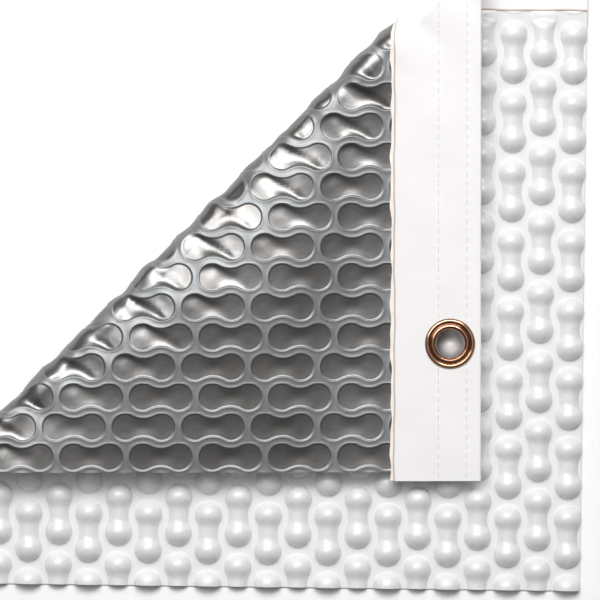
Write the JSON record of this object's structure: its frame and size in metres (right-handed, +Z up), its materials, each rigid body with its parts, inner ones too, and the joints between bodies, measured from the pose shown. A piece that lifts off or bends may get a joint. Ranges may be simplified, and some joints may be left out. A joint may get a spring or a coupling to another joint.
{
  "type": "solar blanket corner",
  "caption": "Corner of a bubble-film pool solar blanket: silver underside, white bubbles, taped hem with an eyelet, and a corner that folds over.",
  "frame": {"origin": "centre of the sheet's outline on the surface that it lies on, below the silver film", "axes": "+Z up out of the bubbles; +Y towards the hemmed edge; +X along the hem, away from the folded corner"},
  "size_m": [0.3163, 0.3213, 0.0182],
  "materials": {
    "silver_film": "silver pigmented polyethylene film, glossy, welded to the bubble film",
    "bubble_film": "milky translucent polyethylene film, thermoformed into double bubbles, glossy",
    "hem_tape": "white coated woven tape, fine weave, satin",
    "hem_backing": "tan uncoated strip, matt",
    "thread": "white polyester sewing thread",
    "eyelet": "copper plated brass, polished"
  },
  "bodies": {
    "sheet": {"sheet_silver_film": "silver_film", "sheet_bubble_film": "bubble_film", "sheet_hem_tape": "hem_tape", "sheet_hem_backing": "hem_backing", "sheet_inner_seam": "thread", "sheet_outer_seam": "thread"},
    "fold_1": {"fold_1_silver_film": "silver_film", "fold_1_bubble_film": "bubble_film", "fold_1_hem_tape": "hem_tape", "fold_1_hem_backing": "hem_backing", "fold_1_inner_seam": "thread", "fold_1_outer_seam": "thread"},
    "fold_2": {"fold_2_silver_film": "silver_film", "fold_2_bubble_film": "bubble_film", "fold_2_hem_tape": "hem_tape", "fold_2_hem_backing": "hem_backing", "fold_2_inner_seam": "thread", "fold_2_outer_seam": "thread"},
    "flap": {"flap_silver_film": "silver_film", "flap_bubble_film": "bubble_film", "flap_hem_tape": "hem_tape", "flap_hem_backing": "hem_backing", "flap_inner_seam": "thread", "flap_outer_seam": "thread", "flap_eyelet": "eyelet", "flap_eyelet_washer": "eyelet"}
  },
  "joints": [
    {"name": "corner_fold", "type": "hinge", "parent": "sheet", "child": "fold_1", "pos_m": [-0.02045, 0.01835, 0.0006], "axis": [-0.7025, -0.7117, 0], "range_deg": [0, 60.8]},
    {"name": "corner_fold_2", "type": "hinge", "parent": "fold_1", "child": "fold_2", "pos_m": [-0.02388, 0.02173, 0.0092], "axis": [-0.7025, -0.7117, 0], "range_deg": [0, 60.8]},
    {"name": "corner_fold_3", "type": "hinge", "parent": "fold_2", "child": "flap", "pos_m": [-0.0202, 0.0181, 0.0176], "axis": [-0.7025, -0.7117, 0], "range_deg": [0, 60.8]}
  ],
  "couplings": [
    {"joint": "corner_fold_2", "follows": "corner_fold", "ratio": 1},
    {"joint": "corner_fold_3", "follows": "corner_fold", "ratio": 1}
  ]
}
